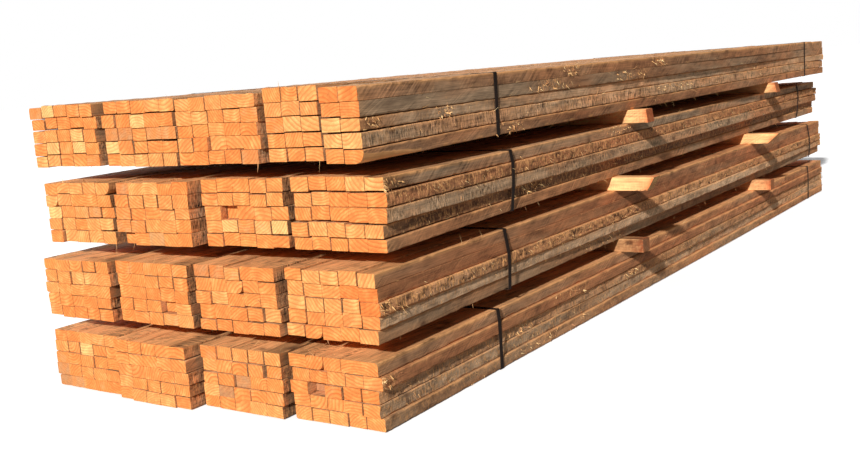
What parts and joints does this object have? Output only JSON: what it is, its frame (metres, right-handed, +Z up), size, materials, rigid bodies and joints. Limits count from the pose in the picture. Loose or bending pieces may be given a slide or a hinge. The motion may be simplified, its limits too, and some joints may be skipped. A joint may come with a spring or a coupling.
{
  "type": "stack of lumber",
  "caption": "Stack of sawn softwood battens in strapped square bundles, laid in tiers with crosswise spacer blocks that leave lifting gaps between the tiers.",
  "frame": {"origin": "on the floor, under the middle of the stack's box", "axes": "+Y along the battens from the near ends to the far ends, +Z up, +X across the stack to the side where the spacers' slanted ends show"},
  "size_m": [1.245, 3.7014, 0.729],
  "materials": {
    "batten_wood": "rough sawn, weathered brown on the sides, fresh orange on the ends",
    "spacer_wood": "rough sawn, fresh",
    "strap_band": "black painted steel band, satin"
  },
  "bodies": {
    "root": {"bundle_bottom_1": "batten_wood", "bundle_bottom_2": "batten_wood", "bundle_bottom_3": "batten_wood", "bundle_bottom_4": "batten_wood", "bundle_lower_1": "batten_wood", "bundle_lower_2": "batten_wood", "bundle_lower_3": "batten_wood", "bundle_lower_4": "batten_wood", "bundle_top_1": "batten_wood", "bundle_top_2": "batten_wood", "bundle_top_3": "batten_wood", "bundle_top_4": "batten_wood", "bundle_upper_1": "batten_wood", "bundle_upper_2": "batten_wood", "bundle_upper_3": "batten_wood", "bundle_upper_4": "batten_wood", "spacer_lower_far": "spacer_wood", "spacer_lower_near": "spacer_wood", "spacer_top_far": "spacer_wood", "spacer_top_near": "spacer_wood", "spacer_upper_far": "spacer_wood", "spacer_upper_near": "spacer_wood", "strap_bottom_1_far": "strap_band", "strap_bottom_1_near": "strap_band", "strap_bottom_2_far": "strap_band", "strap_bottom_2_near": "strap_band", "strap_bottom_3_far": "strap_band", "strap_bottom_3_near": "strap_band", "strap_bottom_4_far": "strap_band", "strap_bottom_4_near": "strap_band", "strap_lower_1_far": "strap_band", "strap_lower_1_near": "strap_band", "strap_lower_2_far": "strap_band", "strap_lower_2_near": "strap_band", "strap_lower_3_far": "strap_band", "strap_lower_3_near": "strap_band", "strap_lower_4_far": "strap_band", "strap_lower_4_near": "strap_band", "strap_top_1_far": "strap_band", "strap_top_1_near": "strap_band", "strap_top_2_far": "strap_band", "strap_top_2_near": "strap_band", "strap_top_3_far": "strap_band", "strap_top_3_near": "strap_band", "strap_top_4_far": "strap_band", "strap_top_4_near": "strap_band", "strap_upper_1_far": "strap_band", "strap_upper_1_near": "strap_band", "strap_upper_2_far": "strap_band", "strap_upper_2_near": "strap_band", "strap_upper_3_far": "strap_band", "strap_upper_3_near": "strap_band", "strap_upper_4_far": "strap_band", "strap_upper_4_near": "strap_band"}
  },
  "joints": []
}
